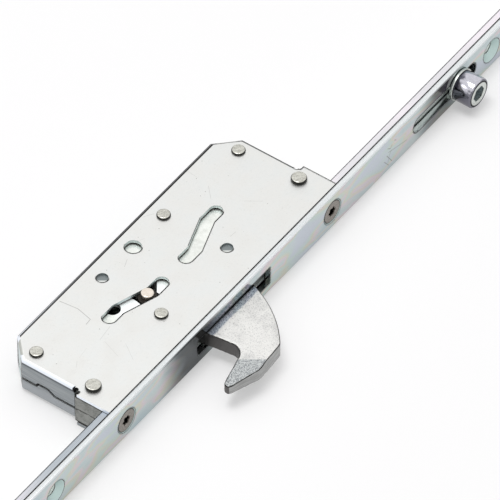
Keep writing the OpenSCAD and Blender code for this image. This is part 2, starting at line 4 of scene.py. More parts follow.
import bpy
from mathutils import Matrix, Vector


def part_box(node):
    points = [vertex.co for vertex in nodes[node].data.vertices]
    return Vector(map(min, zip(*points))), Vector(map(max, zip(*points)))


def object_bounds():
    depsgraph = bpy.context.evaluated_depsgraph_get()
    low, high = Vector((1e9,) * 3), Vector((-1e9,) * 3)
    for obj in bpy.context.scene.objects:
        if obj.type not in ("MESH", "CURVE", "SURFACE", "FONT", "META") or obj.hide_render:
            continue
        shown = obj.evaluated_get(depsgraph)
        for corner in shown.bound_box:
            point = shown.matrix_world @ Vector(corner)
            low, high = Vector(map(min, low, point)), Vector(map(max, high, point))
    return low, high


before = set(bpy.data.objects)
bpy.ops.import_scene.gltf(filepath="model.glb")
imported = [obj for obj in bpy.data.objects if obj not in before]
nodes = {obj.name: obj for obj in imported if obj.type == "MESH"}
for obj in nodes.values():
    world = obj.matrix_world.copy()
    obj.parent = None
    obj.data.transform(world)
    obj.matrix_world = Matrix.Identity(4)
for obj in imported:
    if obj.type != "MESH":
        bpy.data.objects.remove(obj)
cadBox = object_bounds()
mm = 0.001
print("frame loaded:", len(nodes), "nodes")


# Camera: it looks down on the lock from the door's outer side

shot = {
    "turn": -54.004, "height": 47.213, "distance": 3.155, "lens": 669.0, "aimRight": 6.57, "aimUp": 22.1,
    "clip": (0.1, 40),
}


def setUp(thing, place, away):
    # Puts a camera or a lamp in its place, looking against the given direction
    thing.location = place
    thing.rotation_mode = "QUATERNION"
    thing.rotation_quaternion = (-away).to_track_quat("-Z", "Y")
    bpy.context.collection.objects.link(thing)


def placeCamera(s):
    turn = math.radians(s["turn"])
    height = math.radians(s["height"])
    back = Vector((math.sin(turn) * math.cos(height), -math.cos(turn) * math.cos(height), math.sin(height)))
    right = Vector((math.cos(turn), math.sin(turn), 0))
    up = back.cross(right)
    data = bpy.data.cameras.new("photoCamera")
    data.lens = s["lens"]
    data.clip_start, data.clip_end = s["clip"]
    camera = bpy.data.objects.new("photoCamera", data)
    setUp(camera, back * s["distance"] + (right * s["aimRight"] + up * s["aimUp"]) * mm, back)
    bpy.context.scene.camera = camera


placeCamera(shot)


# Node helpers: every finish below is built from these few, with all measures in millimetres.
# The solid share is how much of a dot, a mark or a painted dark reflection has its full strength

noiseSpan = (0.3, 0.7)
white = (1, 1, 1)
solidShare = {"dot": 0.5, "mark": 0.3, "reflection": 0.25}


def newFinish(name):
    material = bpy.data.materials.new(name)
    material.use_nodes = True
    tree = material.node_tree
    return material, tree, tree.nodes["Principled BSDF"]


def feed(tree, socket, value):
    # Links what comes from a node and sets anything else; colours are given without their alpha
    if hasattr(value, "is_output"):
        tree.links.new(value, socket)
    elif socket.type == "RGBA":
        socket.default_value = (*value, 1)
    else:
        socket.default_value = value


def add(tree, kind, inputs=None, **settings):
    made = tree.nodes.new(kind)
    for key, value in settings.items():
        setattr(made, key, value)
    for key, value in (inputs or {}).items():
        feed(tree, made.inputs[key], value)
    return made


def plug(tree, shader, **sockets):
    for name, value in sockets.items():
        feed(tree, shader.inputs[name.replace("_", " ")], value)


def calc(tree, operation, a, b=0.0, c=0.0, clamp=False):
    return add(tree, "ShaderNodeMath", {0: a, 1: b, 2: c}, operation=operation, use_clamp=clamp).outputs[0]


def chain(tree, operation, values):
    result = values[0]
    for value in values[1:]:
        result = calc(tree, operation, result, value)
    return result


def times(tree, *values):
    return chain(tree, "MULTIPLY", values)


def largest(tree, *values):
    return chain(tree, "MAXIMUM", values)


def least(tree, *values):
    return chain(tree, "MINIMUM", values)


def absolute(tree, value):
    return calc(tree, "ABSOLUTE", value)


def inverse(tree, share):
    return calc(tree, "SUBTRACT", 1.0, share)


def drift(tree, base, cloud, reach):
    # Lets a measure wander with a noise, by half the reach each way
    return calc(tree, "MULTIPLY_ADD", calc(tree, "SUBTRACT", cloud, 0.5), reach, base)


def level(tree, share, a, b):
    # Goes from the number a to the number b, as blend does for colours
    return calc(tree, "MULTIPLY_ADD", calc(tree, "SUBTRACT", b, a), share, a)


def remap(tree, value, low, high, toLow=0.0, toHigh=1.0):
    return add(tree, "ShaderNodeMapRange",
               {"Value": value, "From Min": low, "From Max": high, "To Min": toLow, "To Max": toHigh},
               interpolation_type="SMOOTHSTEP").outputs["Result"]


def within(tree, value, rise, fall):
    # A window over a measure, with a soft edge of its own on each side
    return times(tree, remap(tree, value, *rise), remap(tree, value, *fall))


def vector(tree, operation, *values):
    made = add(tree, "ShaderNodeVectorMath", dict(enumerate(values)), operation=operation)
    single = operation in ("DOT_PRODUCT", "LENGTH", "DISTANCE")
    return made.outputs["Value" if single else "Vector"]


def place(tree):
    # Position in millimetres on the piece itself, so that a finish moves with it
    return vector(tree, "MULTIPLY", add(tree, "ShaderNodeTexCoord").outputs["Object"], (1 / mm,) * 3)


def parts(tree, where):
    made = add(tree, "ShaderNodeSeparateXYZ", {"Vector": where})
    return made.outputs["X"], made.outputs["Y"], made.outputs["Z"]


def facing(tree):
    return parts(tree, add(tree, "ShaderNodeTexCoord").outputs["Normal"])


def rolledOff(tree, reach):
    # Which way the surface would turn if every edge were rounded over the given reach
    rounded = add(tree, "ShaderNodeBevel", {"Radius": reach * mm}, samples=8).outputs[0]
    return parts(tree, add(tree, "ShaderNodeVectorTransform", {"Vector": rounded}, vector_type="NORMAL",
                           convert_from="WORLD", convert_to="OBJECT").outputs[0])


def past(tree, where, point, aim):
    # How far a place lies beyond a point, measured along the aim
    return vector(tree, "DOT_PRODUCT", vector(tree, "SUBTRACT", where, point), aim)


def awayFrom(tree, where, centre, flat=(1, 1, 1)):
    # Distance from a point, counted only along the axes that flat keeps
    return vector(tree, "LENGTH", vector(tree, "MULTIPLY", vector(tree, "SUBTRACT", where, centre), flat))


def nearest(tree, where, centres, flat=(1, 1, 1)):
    return least(tree, *[awayFrom(tree, where, centre, flat) for centre in centres])


def stretch(tree, where, size, turn=(0, 0, 0)):
    turned = add(tree, "ShaderNodeMapping", {"Vector": where, "Rotation": [math.radians(a) for a in turn]})
    return vector(tree, "MULTIPLY", turned.outputs[0], [1 / a for a in size])


def grain(tree, where, size, detail, rough, turn=(0, 0, 0), bend=0.0):
    # Noise of the given size along each axis, turned in degrees; the settings hold these in this order
    return add(tree, "ShaderNodeTexNoise",
               {"Vector": stretch(tree, where, size, turn), "Scale": 1.0, "Detail": detail,
                "Roughness": rough, "Distortion": bend}).outputs["Fac"]


def turnedLines(tree, off, size, detail, rough):
    # Turning marks round an axis, from the distance to it
    return grain(tree, add(tree, "ShaderNodeCombineXYZ", {"X": off}).outputs[0], size, detail, rough)


def mottle(tree, cloud, speck, s):
    return times(tree, remap(tree, cloud, *s["dullSpan"]), remap(tree, speck, *s["dullSpeck"]))


def dots(tree, where, s):
    # Scattered round specks, in about one of three cells
    cells = stretch(tree, where, (s["spacing"],) * 3)
    cell = add(tree, "ShaderNodeTexVoronoi", {"Vector": cells, "Scale": 1.0})
    chosen = remap(tree, parts(tree, cell.outputs["Color"])[0], *s["chosen"])
    near = remap(tree, cell.outputs["Distance"], s["radius"], s["radius"] * solidShare["dot"])
    return times(tree, chosen, near, s["strength"])


def scored(tree, where, lines, flat):
    # Share of fine marks along straight lines, each given by its two ends, its width and its strength
    marks = []
    for start, end, width, strength in lines:
        along = Vector(end) - Vector(start)
        kept = vector(tree, "MULTIPLY", vector(tree, "SUBTRACT", where, Vector(start)), flat)
        share = vector(tree, "DOT_PRODUCT", kept, along / along.length_squared)
        share = calc(tree, "ADD", share, clamp=True)
        foot = add(tree, "ShaderNodeVectorMath", {0: along, "Scale": share}, operation="SCALE").outputs[0]
        off = vector(tree, "DISTANCE", kept, foot)
        marks.append(remap(tree, off, width, width * solidShare["mark"], 0.0, strength))
    return largest(tree, *marks)


def ramp(tree, value, stops):
    made = add(tree, "ShaderNodeValToRGB", {"Fac": value})
    points = made.color_ramp.elements
    while len(points) < len(stops):
        points.new(0.5)
    for point, (at, colour) in zip(points, stops):
        point.position = at
        point.color = (*colour, 1)
    return made.outputs["Color"]


def blend(tree, share, a, b):
    return add(tree, "ShaderNodeMix", {0: share, 6: a, 7: b}, data_type="RGBA").outputs[2]


def relief(tree, height, depth, under=None):
    inputs = {"Height": height, "Distance": depth * mm, "Strength": 1.0}
    if under is not None:
        inputs["Normal"] = under
    return add(tree, "ShaderNodeBump", inputs).outputs["Normal"]


def bareMetal(tree, shader, colour, speck, s):
    # Metal whose gloss and fine relief both follow one grain
    plug(tree, shader, Base_Color=colour, Metallic=1.0, Normal=relief(tree, speck, s["depth"]),
         Roughness=remap(tree, speck, *noiseSpan, *s["gloss"]))


# Studio: a white floor and a soft surround, brightest overhead and behind, dark along the horizon.
# The camera's, mirrored and transmitted rays see it white, the floor only in part, to keep the shadow

studio = {
    "floorSize": 14.0, "floorTone": (0.94, 0.94, 0.94), "floorRough": 0.8, "floorShown": 0.38,
    "sky": [(0.0, 0.03), (0.22, 0.03), (0.34, 0.2), (0.46, 0.6), (0.58, 0.9), (0.8, 0.9), (0.9, 1.5),
            (1.0, 1.9)],
    "skyTint": (1.0, 0.99, 1.0), "far": (0.81, 0.59, 0.0), "farSpan": (-0.7, 0.5), "farShares": (0.35, 1.04),
    "keyLamp": {"place": (-0.1, 0.25, 1.6), "size": 0.6, "power": 9.0},
    "sideLamp": {"place": (-1.0, 0.75, 1.15), "size": 0.42, "power": 0.7},
}


def seenRays(tree):
    rays = add(tree, "ShaderNodeLightPath").outputs
    return largest(tree, rays["Is Camera Ray"], rays["Is Glossy Ray"], rays["Is Transmission Ray"])


def mixInto(tree, output, share, first, second):
    mix = add(tree, "ShaderNodeMixShader", {0: share, 1: first.outputs[0], 2: second.outputs[0]})
    tree.links.new(mix.outputs[0], tree.nodes[output].inputs["Surface"])


def paintFloor(s):
    material, tree, shader = newFinish("studioFloor")
    plug(tree, shader, Base_Color=s["floorTone"], Roughness=s["floorRough"])
    glow = add(tree, "ShaderNodeEmission", {"Color": white, "Strength": 1.0})
    mixInto(tree, "Material Output", times(tree, seenRays(tree), s["floorShown"]), shader, glow)
    return material


def layFloor(s, z):
    half = s["floorSize"] / 2
    corners = [(-half, -half, z), (half, -half, z), (half, half, z), (-half, half, z)]
    mesh = bpy.data.meshes.new("studioFloor")
    mesh.from_pydata(corners, [], [(0, 1, 2, 3)])
    floor = bpy.data.objects.new("studioFloor", mesh)
    bpy.context.collection.objects.link(floor)
    mesh.materials.append(paintFloor(s))


def hangLamp(name, s):
    data = bpy.data.lights.new(name, "AREA")
    data.shape = "SQUARE"
    data.size = s["size"]
    data.energy = s["power"]
    setUp(bpy.data.objects.new(name, data), s["place"], Vector(s["place"]))


def fillSurround(s):
    world = bpy.data.worlds.new("studioSurround")
    world.use_nodes = True
    bpy.context.scene.world = world
    tree = world.node_tree
    aim = add(tree, "ShaderNodeTexCoord").outputs["Generated"]
    stops = [(at, [tone * t for t in s["skyTint"]]) for at, tone in s["sky"]]
    tones = ramp(tree, parts(tree, aim)[2], stops)
    power = remap(tree, vector(tree, "DOT_PRODUCT", aim, s["far"]), *s["farSpan"], *s["farShares"])
    lit = add(tree, "ShaderNodeBackground", {"Color": tones, "Strength": power})
    seen = add(tree, "ShaderNodeBackground", {"Color": white, "Strength": 1.0})
    mixInto(tree, "World Output", seenRays(tree), lit, seen)


layFloor(studio, cadBox[0].z)
for name in ("keyLamp", "sideLamp"):
    hangLamp(name, studio[name])
fillSurround(studio)
bpy.context.scene.view_settings.view_transform = "Standard"
print("studio ready")


# Dressing a carried-over node: rounded edges, and a dense dented skin where it is cast or hammered

softening = {"weld": 0.002, "flat": 0.4, "sharp": 32, "calm": 0.5, "dentMiddle": 0.5}


def soften(name, width, segments=2):
    piece = nodes[name]
    weld = piece.modifiers.new("weldSeams", "WELD")
    weld.merge_threshold = softening["weld"] * mm
    whole = piece.modifiers.new("wholeFaces", "DECIMATE")
    whole.decimate_type = "DISSOLVE"
    whole.angle_limit = math.radians(softening["flat"])
    bevel = piece.modifiers.new("softEdges", "BEVEL")
    bevel.width = width * mm
    bevel.segments = segments
    bevel.limit_method = "ANGLE"
    bevel.angle_limit = math.radians(softening["sharp"])
    bevel.harden_normals = True
    bevel.miter_outer = "MITER_ARC"
    bevel.loop_slide = False
    return piece


def roughen(name, s):
    piece = soften(name, s["edge"], 3)
    skin = piece.modifiers.new("denseSkin", "REMESH")
    skin.mode = "VOXEL"
    skin.voxel_size = s["skin"] * mm
    skin.use_smooth_shade = True
    calm = piece.modifiers.new("calmSkin", "SMOOTH")
    calm.factor = softening["calm"]
    calm.iterations = s["calm"]
    for size, depth in s["dents"]:
        cloud = bpy.data.textures.new("dents", "CLOUDS")
        cloud.noise_scale = size * mm
        dent = piece.modifiers.new("dents", "DISPLACE")
        dent.texture = cloud
        dent.strength = depth * mm
        dent.mid_level = softening["dentMiddle"]


def dress(name, material):
    piece = nodes[name]
    piece.data.materials.clear()
    piece.data.materials.append(material)


# Faceplate: bright zinc plate, drawn along its length, with a faint changing tint, greenish in its
# countersunk holes, and a painted dark reflection in two places, beside the hook and beside the roller

faceplate = {
    "edge": 0.15,
    "patch": ((26, 12, 9), 2.0, 0.5, (0, 0, 0), 0.5), "line": ((70, 0.3, 0.25), 3.0, 0.6),
    "speck": ((0.5, 0.5, 0.5), 2.0, 0.6), "lineDepth": 0.0015, "gloss": (0.3, 0.75, 0.1, 0.19),
    "tints": [(0.0, (0.46, 0.55, 0.58)), (0.3, (0.52, 0.58, 0.58)), (0.45, (0.61, 0.54, 0.58)),
              (0.58, (0.58, 0.57, 0.48)), (0.75, (0.5, 0.59, 0.56)), (1.0, (0.51, 0.55, 0.61))],
    "tintSpan": (0.32, 0.68),
    "rim": (0.86, 0.88, 0.89), "rimDull": (0.74, 0.78, 0.79), "rimSpan": (0.35, 0.7), "rimTurn": (0.15, 0.6),
    "rear": (0.012, 0.012, 0.012), "rearReach": 1.15, "rearTurn": (0.05, 0.13), "rearSides": (0.9, 0.6),
    "middle": (6.2, 5.9), "slopeRise": (-0.95, -0.85), "slopeFall": (-0.2, -0.4),
    "cone": (0.54, 0.66, 0.64), "roundGloss": 0.55, "roundMetal": 0.4,
    "mouth": (0.02, 0.025, 0.02), "mouthTurn": (0.04, 0.11, 0.0, 0.95), "mouthFront": (-0.9, -0.97),
    "fleck": (0.3, 0.31, 0.31), "fleckSpan": (0.55, 0.8, 0.0, 0.2),
    "paintedReflections": [((-21, -1, 0), 21, 0.95), ((124, -1, -1), 17, 0.7)],
    "reflectionTone": (0.05, 0.055, 0.06), "reflectionFlat": (1, 1, 0.6), "reflectionDrift": 14.0, "reflectionFront": (-0.5, -0.8),
    "markTone": (0.2, 0.2, 0.18),
    "marks": [((92.5, 0, 1.2), (103.5, 0, -1.8), 0.16, 0.85), ((92.0, 0, 3.4), (93.6, 0, 2.2), 0.22, 0.85),
              ((93.6, 0, 2.2), (94.6, 0, 3.3), 0.2, 0.8), ((91.5, 0, 0.2), (94.5, 0, -4.6), 0.26, 0.7),
              ((90.0, 0, -1.6), (92.6, 0, -5.2), 0.24, 0.6), ((96.0, 0, 4.4), (97.0, 0, 3.7), 0.2, 0.8),
              ((94.2, 0, 1.0), (93.0, 0, -0.6), 0.2, 0.7), ((93.0, 0, -0.6), (92.2, 0, -3.4), 0.2, 0.6)],
}


def zincPlate(s):
    material, tree, shader = newFinish("zincPlate")
    where = place(tree)
    patch = grain(tree, where, *s["patch"])
    line = grain(tree, where, *s["line"])
    speck = grain(tree, where, *s["speck"])
    ny, nz = facing(tree)[1:]
    rx, ry, rz = rolledOff(tree, s["rearReach"])

    front = ramp(tree, remap(tree, patch, *s["tintSpan"]), s["tints"])
    # Upward-facing faces, above all the top edge, get a painted highlight: a paler tone than the front
    rim = blend(tree, remap(tree, line, *s["rimSpan"]), s["rim"], s["rimDull"])
    base = blend(tree, remap(tree, nz, *s["rimTurn"]), front, rim)
    # A painted shade line, near black, where the edges roll over towards the rear
    rear = times(tree, remap(tree, ry, *s["rearTurn"]), remap(tree, ny, *s["rearSides"]))
    base = blend(tree, rear, base, s["rear"])

    middle = remap(tree, absolute(tree, parts(tree, where)[2]), *s["middle"])
    sloped = within(tree, ny, s["slopeRise"], s["slopeFall"])
    base = blend(tree, times(tree, sloped, middle), base, s["cone"])
    # Painted shade: dark outlines round the openings in the front
    tilt = largest(tree, absolute(tree, rx), absolute(tree, rz))
    mouth = times(tree, remap(tree, tilt, *s["mouthTurn"]), remap(tree, ny, *s["mouthFront"]))
    base = blend(tree, times(tree, mouth, middle), base, s["mouth"])

    colour = blend(tree, remap(tree, speck, *s["fleckSpan"]), base, s["fleck"])
    # Painted dark reflections on the front, beside the hook and beside the roller
    for centre, reach, strength in s["paintedReflections"]:
        off = drift(tree, awayFrom(tree, where, centre, s["reflectionFlat"]), patch, s["reflectionDrift"])
        reflection = remap(tree, off, reach, reach * solidShare["reflection"], 0.0, strength)
        colour = blend(tree, times(tree, reflection, remap(tree, ny, *s["reflectionFront"])), colour, s["reflectionTone"])
    colour = blend(tree, scored(tree, where, s["marks"], (1, 0, 1)), colour, s["markTone"])

    outer = times(tree, sloped, inverse(tree, middle))
    plug(tree, shader, Base_Color=colour, Metallic=remap(tree, outer, 0.0, 1.0, 1.0, s["roundMetal"]),
         Roughness=level(tree, sloped, remap(tree, line, *s["gloss"]), s["roundGloss"]),
         Normal=relief(tree, line, s["lineDepth"]))
    return material


soften("faceplate", faceplate["edge"], 3)
dress("faceplate", zincPlate(faceplate))
print("faceplate dressed")


# Case shells: satin zinc-coated sheet, with a painted highlight along its bends and painted shade
# on its drawn walls, with light scratches and thin painted shade lines along the far edges, the joint
# and the end tabs' notches

shells = {
    "edge": 0.1,
    "cloud": ((9, 7, 9), 3.0, 0.6), "speck": ((0.7, 0.55, 0.7), 2.0, 0.7), "speckDepth": 0.01,
    "drawn": ((12, 12, 0.4), 2.0, 0.6), "drawnDepth": 0.004, "gloss": (0.34, 0.46), "bendGloss": 0.5,
    "flatTurn": (0.93, 0.999), "wallTurn": (0.5, 0.08), "innerX": (61.6, 61.2), "innerY": (47.2, 46.8),
    "tone": (0.765, 0.765, 0.745), "dull": (0.715, 0.725, 0.715), "dullSpan": (0.35, 0.7),
    "fleck": (0.58, 0.58, 0.55), "fleckSpan": (0.55, 0.8, 0.0, 0.4),
    "dotTone": (0.2, 0.2, 0.18),
    "dots": {"spacing": 2.6, "radius": 0.09, "strength": 0.7, "chosen": (0.68, 0.7)},
    "markTone": (0.25, 0.25, 0.24),
    "marks": [((-34.4, 46.6, 0), (-33.6, 39.5, 0), 0.18, 0.6),
              ((-33.6, 39.5, 0), (-35.0, 33.2, 0), 0.18, 0.65),
              ((-35.0, 33.2, 0), (-37.6, 33.0, 0), 0.18, 0.65)],
    "strays": {"seed": 7, "count": 16, "x": (-58, 58), "y": (6, 45), "turn": (0, math.pi), "length": (2, 9),
               "width": (0.08, 0.14), "strength": (0.2, 0.42)},
    "wall": (0.385, 0.405, 0.415), "wallDark": (0.27, 0.295, 0.31), "wallLow": (0.42, 0.44, 0.46),
    "crease": (0.11, 0.12, 0.135), "bend": (0.86, 0.9, 0.96),
    "zones": [((-2.0, -4.0, 0.0, 0.8), "wallLow"), ((-6.4, -7.0), "wallDark"), ((4.9, 5.7), "crease"),
              ((5.9, 6.3), "bend")],
    "corner": (0.3, 0.31, 0.32), "cornerDark": (0.1, 0.105, 0.11), "cornerSpan": (0.4, 0.6),
    "cornerTurn": (0.4, 0.55), "cornerBelow": (6.6, 5.9),
    "rear": (0.05, 0.05, 0.055), "rearTurn": (0.1, 0.3), "rearBelow": (-4.0, -5.0), "lowerEndShare": 1.5,
    "cut": (0.6, 0.67, 0.67), "rim": (0.5, 0.51, 0.48),
    "line": (0.015, 0.015, 0.015), "lineReach": 0.95, "lineTurn": (0.06, 0.16), "rearStrip": (47.4, 47.6),
    "jointBelow": (5.0, 4.5), "notches": [(-63.2, 18.0, 6.6), (63.2, 18.0, 6.6)], "notchReach": (1.9, 1.6),
    "pockets": [(19, 15.3, 0), (-17.2, 41.4, 0)], "pocketReach": (2.4, 2.3), "pocketBelow": (7.4, 7.3),
    "pocket": (0.24, 0.265, 0.27), "shine": (0.7, 0.72, 0.7), "shineAim": (-0.81, -0.59, 0),
    "shineRise": (0.3, 0.9), "shineFall": (3.0, 2.8),
}


def strayMarks(s):
    draw = random.Random(s["seed"])
    lines = []
    for i in range(s["count"]):
        x, y, turn, length = [draw.uniform(*s[key]) for key in ("x", "y", "turn", "length")]
        end = (x + math.cos(turn) * length, y + math.sin(turn) * length, 0)
        lines.append(((x, y, 0), end, draw.uniform(*s["width"]), draw.uniform(*s["strength"])))
    return lines


def awaySide(tree, nx, ny, lowerEndShare):
    # How far a surface turns towards the rear or the upper end, leaving out the corner at the lower end
    left = times(tree, least(tree, nx, 0.0), lowerEndShare)
    return largest(tree, nx, calc(tree, "ADD", ny, left))


def zincSheet(s):
    material, tree, shader = newFinish("zincSheet")
    where = place(tree)
    x, y, z = parts(tree, where)
    nx, ny, nz = facing(tree)
    rx, ry, rz = rolledOff(tree, s["lineReach"])
    high = absolute(tree, z)
    flat = remap(tree, absolute(tree, nz), *s["flatTurn"])
    wall = remap(tree, absolute(tree, nz), *s["wallTurn"])
    inner = times(tree, remap(tree, absolute(tree, x), *s["innerX"]), remap(tree, y, *s["innerY"]))
    cloud = grain(tree, where, *s["cloud"])
    speck = grain(tree, where, *s["speck"])
    drawn = grain(tree, where, *s["drawn"])

    cover = blend(tree, remap(tree, cloud, *s["dullSpan"]), s["tone"], s["dull"])
    cover = blend(tree, remap(tree, speck, *s["fleckSpan"]), cover, s["fleck"])
    cover = blend(tree, dots(tree, where, s["dots"]), cover, s["dotTone"])
    marks = scored(tree, where, s["marks"] + strayMarks(s["strays"]), (1, 1, 0))
    cover = blend(tree, marks, cover, s["markTone"])

    # Painted light and shade on the walls, corners and bends: the walls darker than the cover, their tone
    # changing with the height, with a band of painted shade under each bend and a painted highlight on it,
    # darker corners, and near-black bends where they turn to the rear or the upper end
    side = blend(tree, remap(tree, drawn, *noiseSpan), s["wallDark"], s["wall"])
    for span, tone in s["zones"]:
        side = blend(tree, remap(tree, z, *span), side, s[tone])
    corner = remap(tree, least(tree, absolute(tree, nx), ny), *s["cornerTurn"])
    corner = times(tree, corner, remap(tree, z, *s["cornerBelow"]))
    cornerTone = blend(tree, remap(tree, speck, *s["cornerSpan"]), s["corner"], s["cornerDark"])
    side = blend(tree, corner, side, cornerTone)
    away = remap(tree, awaySide(tree, nx, ny, s["lowerEndShare"]), *s["rearTurn"])
    bend = blend(tree, away, s["bend"], s["rear"])
    bend = blend(tree, remap(tree, z, *s["rearBelow"]), bend, s["wallDark"])
    colour = blend(tree, inner, blend(tree, wall, bend, side), blend(tree, wall, s["rim"], s["cut"]))
    colour = blend(tree, flat, colour, cover)

    # Thin painted shade lines along the far edges, the joint and the notches, then the spare rivet places,
    # in painted shade with a painted highlight on one side
    line = remap(tree, awaySide(tree, rx, ry, s["lowerEndShare"]), *s["lineTurn"])
    line = times(tree, largest(tree, line, remap(tree, y, *s["rearStrip"])), flat)
    joint = remap(tree, absolute(tree, rz), *s["lineTurn"])
    joint = times(tree, joint, remap(tree, high, *s["jointBelow"]), wall)
    notch = remap(tree, nearest(tree, where, s["notches"]), *s["notchReach"])
    line = largest(tree, line, joint, times(tree, notch, inverse(tree, flat)))
    colour = blend(tree, line, colour, s["line"])
    # Spare rivet places: painted shade, with a painted highlight past them on one side
    spare = remap(tree, nearest(tree, where, s["pockets"], (1, 1, 0)), *s["pocketReach"])
    spare = times(tree, spare, remap(tree, high, *s["pocketBelow"]))
    beyond = [past(tree, where, centre, s["shineAim"]) for centre in s["pockets"]]
    shine = largest(tree, *[within(tree, off, s["shineRise"], s["shineFall"]) for off in beyond])
    colour = blend(tree, spare, colour, blend(tree, shine, s["pocket"], s["shine"]))

    gloss = level(tree, flat, s["bendGloss"], remap(tree, cloud, *noiseSpan, *s["gloss"]))
    bumps = relief(tree, speck, s["speckDepth"])
    plug(tree, shader, Base_Color=colour, Metallic=1.0, Roughness=gloss,
         Normal=relief(tree, drawn, s["drawnDepth"], under=bumps))
    return material


sheetFinish = zincSheet(shells)
for name in ("upper_case_shell", "lower_case_shell"):
    soften(name, shells["edge"])
    dress(name, sheetFinish)
print("shells dressed")


# Hook and end blocks: zinc castings with a grainy skin; the hook's faces are blasted, in near-black painted
# shade where they pass through the faceplate, pitted on the beak, with painted shade on its sides and
# edges; the end blocks have painted shade under the shells' tabs

hook = {
    "edge": 0.5, "skin": 0.26, "calm": 2, "dents": [(2.4, 0.08), (0.5, 0.05)],
    "cloud": ((6, 6, 6), 3.0, 0.6), "speck": ((0.45, 0.45, 0.45), 3.0, 0.7), "depth": 0.05,
    "streak": ((5, 5, 0.3), 2.0, 0.6), "gloss": (0.32, 0.5), "faceTurn": (0.92, 0.975),
    "tone": (0.76, 0.755, 0.735), "dull": (0.56, 0.56, 0.55), "dullSpan": (0.42, 0.72),
    "dullSpeck": (0.3, 0.65, 0.2, 1.0), "pit": (0.3, 0.31, 0.31), "pitSpan": (0.53, 0.66, 0.0, 0.55),
    "darkSpan": (0.45, 0.57), "beak": (0.5, 0.52, 0.52), "beakDull": (0.22, 0.23, 0.24),
    "ridge": (-14, -19.8, 0), "ridgeAim": (-0.81, -0.586, 0), "ridgeSpan": (-0.4, 0.3),
    "wave": 1.6, "band": (0.46, 0.5, 0.55), "bandDull": (0.15, 0.17, 0.21), "bandRise": (-2.0, -1.2),
    "bandFall": (1.1, 0.5), "paintedShade": (0.02, 0.02, 0.02), "shadeRise": (0.5, 1.0), "shadeFall": (2.6, 1.8),
    "sideTone": (0.42, 0.425, 0.42), "sideDark": (0.125, 0.12, 0.118), "sideTurn": (-0.55, -0.75),
    "sideSpan": (0.35, 0.65, 0.0, 0.4), "rim": (0.03, 0.03, 0.028), "rimTurn": (0.3, 0.5),
    "lineReach": 0.9, "lineTurn": (0.96, 0.88),
}
blocks = {
    "edge": 0.3, "skin": 0.3, "calm": 1, "dents": [(3.0, 0.1), (0.7, 0.05)],
    "cloud": ((3, 3, 3), 3.0, 0.6), "speck": ((0.5, 0.5, 0.5), 3.0, 0.7), "depth": 0.05,
    "gloss": (0.42, 0.6), "tone": (0.31, 0.315, 0.3), "dull": (0.16, 0.165, 0.155), "dullSpan": (0.35, 0.7),
    "dullSpeck": (0.3, 0.7, 0.3, 1.0), "parting": (0.03, 0.03, 0.027), "partingDrift": 2.4,
    "partingSpan": (0.32, 0.12, 0.0, 0.9), "tabShadeFrom": (5.2, 5.8),
}


def hookCast(s):
    material, tree, shader = newFinish("hookCast")
    where = place(tree)
    ny, nz = facing(tree)[1:]
    upright = absolute(tree, nz)
    cloud = grain(tree, where, *s["cloud"])
    speck = grain(tree, where, *s["speck"])
    streak = grain(tree, where, *s["streak"])
    pits = remap(tree, speck, *s["darkSpan"])
    wavy = calc(tree, "MULTIPLY_ADD", cloud, s["wave"], parts(tree, where)[1])

    face = blend(tree, mottle(tree, cloud, speck, s), s["tone"], s["dull"])
    face = blend(tree, remap(tree, speck, *s["pitSpan"]), face, s["pit"])
    beyond = remap(tree, past(tree, where, s["ridge"], s["ridgeAim"]), *s["ridgeSpan"])
    face = blend(tree, beyond, face, blend(tree, pits, s["beak"], s["beakDull"]))
    band = within(tree, wavy, s["bandRise"], s["bandFall"])
    face = blend(tree, band, face, blend(tree, pits, s["band"], s["bandDull"]))
    # Painted shade, near black, where the faces pass through the faceplate
    face = blend(tree, within(tree, wavy, s["shadeRise"], s["shadeFall"]), face, s["paintedShade"])
    # A painted shade line, near black, just inside the rounded edges of the faces
    edge = remap(tree, absolute(tree, rolledOff(tree, s["lineReach"])[2]), *s["lineTurn"])
    face = blend(tree, edge, face, s["rim"])

    # The sides: painted shade, darker where they turn away from the front, near black where they round into
    # the faces
    side = blend(tree, remap(tree, ny, *s["sideTurn"]), s["sideDark"], s["sideTone"])
    side = blend(tree, remap(tree, streak, *s["sideSpan"]), side, s["sideDark"])
    side = blend(tree, remap(tree, upright, *s["rimTurn"]), side, s["rim"])
    colour = blend(tree, remap(tree, upright, *s["faceTurn"]), side, face)
    bareMetal(tree, shader, colour, speck, s)
    return material


def blockCast(s):
    material, tree, shader = newFinish("blockCast")
    where = place(tree)
    cloud = grain(tree, where, *s["cloud"])
    speck = grain(tree, where, *s["speck"])
    z = parts(tree, where)[2]
    colour = blend(tree, mottle(tree, cloud, speck, s), s["tone"], s["dull"])
    parting = absolute(tree, drift(tree, z, cloud, s["partingDrift"]))
    colour = blend(tree, remap(tree, parting, *s["partingSpan"]), colour, s["parting"])
    # Painted shade near the top and the bottom, under the shells' tabs, in the parting line's tone
    colour = blend(tree, remap(tree, absolute(tree, z), *s["tabShadeFrom"]), colour, s["parting"])
    bareMetal(tree, shader, colour, speck, s)
    return material


roughen("hook_bolt", hook)
dress("hook_bolt", hookCast(hook))
blockFinish = blockCast(blocks)
for name in ("lower_end_block", "upper_end_block"):
    roughen(name, blocks)
    dress(name, blockFinish)
print("castings dressed")


# Rivets: peened steel, pale on top from wear, with painted shade, near black, round the sides

